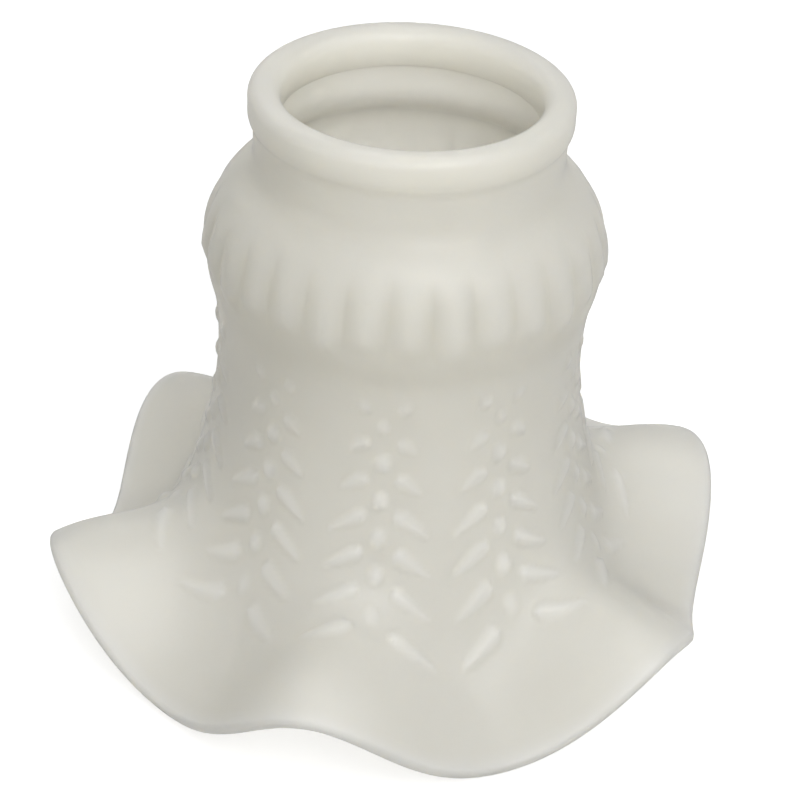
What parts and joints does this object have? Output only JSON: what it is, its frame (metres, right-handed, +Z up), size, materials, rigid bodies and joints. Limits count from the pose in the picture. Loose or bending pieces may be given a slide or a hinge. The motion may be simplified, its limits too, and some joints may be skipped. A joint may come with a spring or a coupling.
{
  "type": "glass lampshade",
  "caption": "Bell-shaped lampshade of frosted pressed glass with a lipped neck for a fitter, a fluted bulb, raised leaves and beads, and a flared, crimped rim.",
  "frame": {"origin": "on the shade's axis, in the middle of the straight band of the fitter lip", "axes": "+Z up along the axis and out of the neck, -Y towards the picture's camera, +X to that camera's right"},
  "size_m": [0.1285, 0.1355, 0.1066],
  "materials": {
    "frosted_glass": "satin"
  },
  "bodies": {
    "root": {"glass_shade": "frosted_glass"}
  },
  "joints": []
}
